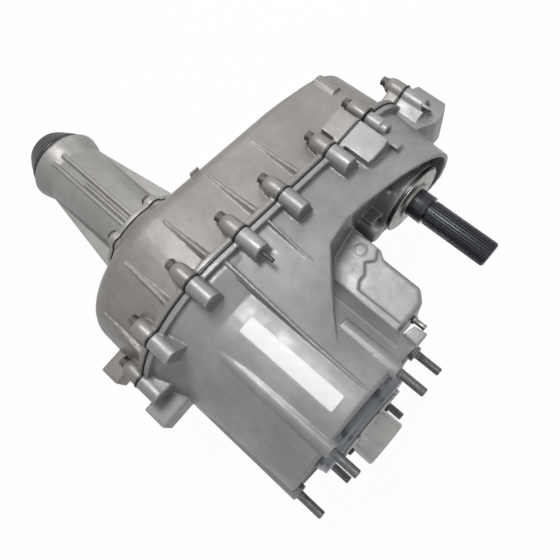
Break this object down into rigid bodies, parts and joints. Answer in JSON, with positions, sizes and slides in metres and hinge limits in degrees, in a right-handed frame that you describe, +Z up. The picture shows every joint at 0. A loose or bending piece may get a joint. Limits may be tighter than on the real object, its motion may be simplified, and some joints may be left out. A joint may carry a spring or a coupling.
{
  "type": "transfer case",
  "caption": "Part-time chain drive transfer case: split cast housing, studded gearbox end, tail housing, splined forward-facing front output, planetary low range and shift mechanism inside.",
  "frame": {"origin": "centre of the stud face at the gearbox end, on the input shaft axis", "axes": "+X forward along the input shaft, +Y from the main shaft to the front output shaft, +Z up"},
  "size_m": [0.5755, 0.5029, 0.2846],
  "materials": {
    "cast_rear": "satin sand-cast",
    "cast_front": "satin sand-cast",
    "cast_tail": "satin sand-cast",
    "sealant": "matt",
    "bolt": "dark phosphate",
    "stud": "zinc",
    "steel": "machined",
    "gear_steel": "ground",
    "bearing_steel": "polished",
    "black_oxide": "black oxide",
    "rubber": "matt",
    "bronze": "machined",
    "plastic": "moulded",
    "pump_alloy": "die-cast",
    "nipple": "plated"
  },
  "bodies": {
    "housing": {"front_case": "cast_front", "rear_case": "cast_rear", "tail_housing": "cast_tail", "case_sealant": "sealant", "tail_sealant": "sealant", "case_bolts": "bolt", "tail_bolts": "bolt", "adapter_studs": "stud", "input_bearing_outer": "bearing_steel", "bearing_balls": "bearing_steel", "bearing_retainer": "steel", "retainer_screws": "bolt", "input_seal": "rubber", "annulus_gear": "gear_steel", "chain": "gear_steel", "oil_pump_body": "pump_alloy", "pickup_tube": "steel", "pickup_screen": "plastic", "rear_bearing_outer": "bearing_steel", "tail_bush": "bronze", "tail_seal": "rubber", "front_seal": "rubber", "front_bearing_outer": "bearing_steel", "shaft_end_bearing": "bearing_steel", "detent_plug": "bolt", "vent_nipple": "nipple", "drain_fill_plugs": "bolt", "speed_sensor": "plastic"},
    "main_shaft": {"mainshaft": "gear_steel", "mode_hub": "gear_steel", "synchro_ring": "bronze", "oil_pump_rotor": "gear_steel", "rear_bearing_inner": "bearing_steel", "tone_wheel": "gear_steel"},
    "input": {"input_gear": "steel", "input_bearing_inner": "bearing_steel"},
    "carrier": {"planet_carrier": "gear_steel", "planet_pins": "gear_steel"},
    "planet_1": {"planet_gear_1": "gear_steel"},
    "planet_2": {"planet_gear_2": "gear_steel"},
    "planet_3": {"planet_gear_3": "gear_steel"},
    "planet_4": {"planet_gear_4": "gear_steel"},
    "range_slider": {"range_hub": "gear_steel"},
    "mode_slider": {"mode_sleeve": "gear_steel"},
    "chain_drive": {"drive_sprocket": "gear_steel"},
    "front_output": {"front_output_shaft": "black_oxide", "front_slinger": "nipple", "slinger_ring": "rubber", "driven_sprocket": "gear_steel", "front_bearing_inner": "bearing_steel"},
    "selector": {"shift_sector": "gear_steel", "shift_lever": "steel", "lever_nut": "bolt"},
    "range_fork": {"range_fork": "pump_alloy"},
    "mode_rail": {"mode_fork": "pump_alloy", "shift_rail": "steel"},
    "detent": {"detent_plunger": "gear_steel"}
  },
  "joints": [
    {"name": "main_spin", "type": "hinge", "parent": "housing", "child": "main_shaft", "pos_m": [-0.2, 0, 0], "axis": [1, 0, 0], "continuous": true},
    {"name": "input_spin", "type": "hinge", "parent": "housing", "child": "input", "pos_m": [0, 0, 0], "axis": [1, 0, 0], "continuous": true},
    {"name": "carrier_spin", "type": "hinge", "parent": "housing", "child": "carrier", "pos_m": [-0.04, 0, 0], "axis": [1, 0, 0], "continuous": true},
    {"name": "sprocket_spin", "type": "hinge", "parent": "housing", "child": "chain_drive", "pos_m": [-0.175, 0, 0], "axis": [1, 0, 0], "continuous": true},
    {"name": "front_output_spin", "type": "hinge", "parent": "housing", "child": "front_output", "pos_m": [-0.12, 0.23892, 0], "axis": [1, 0, 0], "continuous": true},
    {"name": "planet_1_spin", "type": "hinge", "parent": "carrier", "child": "planet_1", "pos_m": [-0.037, 0.0578, 0], "axis": [1, 0, 0], "continuous": true},
    {"name": "planet_2_spin", "type": "hinge", "parent": "carrier", "child": "planet_2", "pos_m": [-0.037, 0, 0.0578], "axis": [1, 0, 0], "continuous": true},
    {"name": "planet_3_spin", "type": "hinge", "parent": "carrier", "child": "planet_3", "pos_m": [-0.037, -0.0578, 0], "axis": [1, 0, 0], "continuous": true},
    {"name": "planet_4_spin", "type": "hinge", "parent": "carrier", "child": "planet_4", "pos_m": [-0.037, 0, -0.0578], "axis": [1, 0, 0], "continuous": true},
    {"name": "selector_turn", "type": "hinge", "parent": "housing", "child": "selector", "pos_m": [-0.117, 0.143, 0], "axis": [0, 0, -1], "range_deg": [-16.5, 32.5]},
    {"name": "range_hub_slide", "type": "slide", "parent": "main_shaft", "child": "range_slider", "axis": [1, 0, 0], "range_m": [-0.016, 0.008]},
    {"name": "range_fork_slide", "type": "slide", "parent": "housing", "child": "range_fork", "axis": [1, 0, 0], "range_m": [-0.0165, 0.0085]},
    {"name": "mode_sleeve_slide", "type": "slide", "parent": "main_shaft", "child": "mode_slider", "axis": [1, 0, 0], "range_m": [-0.0045, 0.0085]},
    {"name": "mode_rail_slide", "type": "slide", "parent": "housing", "child": "mode_rail", "axis": [1, 0, 0], "range_m": [-0.0045, 0.0085]},
    {"name": "detent_press", "type": "slide", "parent": "housing", "child": "detent", "axis": [0, 0, -1], "range_m": [0, 0.003], "stiffness_N_per_m": 800, "springref_m": -0.004}
  ],
  "couplings": [
    {"joint": "input_spin", "follows": "main_spin", "ratio": 1},
    {"joint": "carrier_spin", "follows": "main_spin", "ratio": 0.36765},
    {"joint": "sprocket_spin", "follows": "main_spin", "ratio": 1},
    {"joint": "front_output_spin", "follows": "main_spin", "ratio": 1},
    {"joint": "planet_1_spin", "follows": "main_spin", "ratio": -1.7565},
    {"joint": "planet_2_spin", "follows": "main_spin", "ratio": -1.7565},
    {"joint": "planet_3_spin", "follows": "main_spin", "ratio": -1.7565},
    {"joint": "planet_4_spin", "follows": "main_spin", "ratio": -1.7565},
    {"joint": "selector_turn", "follows": "range_hub_slide", "rad_per_m": -34.907},
    {"joint": "range_fork_slide", "follows": "range_hub_slide", "ratio": 1},
    {"joint": "mode_sleeve_slide", "follows": "range_hub_slide", "ratio": -0.5},
    {"joint": "mode_rail_slide", "follows": "range_hub_slide", "ratio": -0.5}
  ]
}
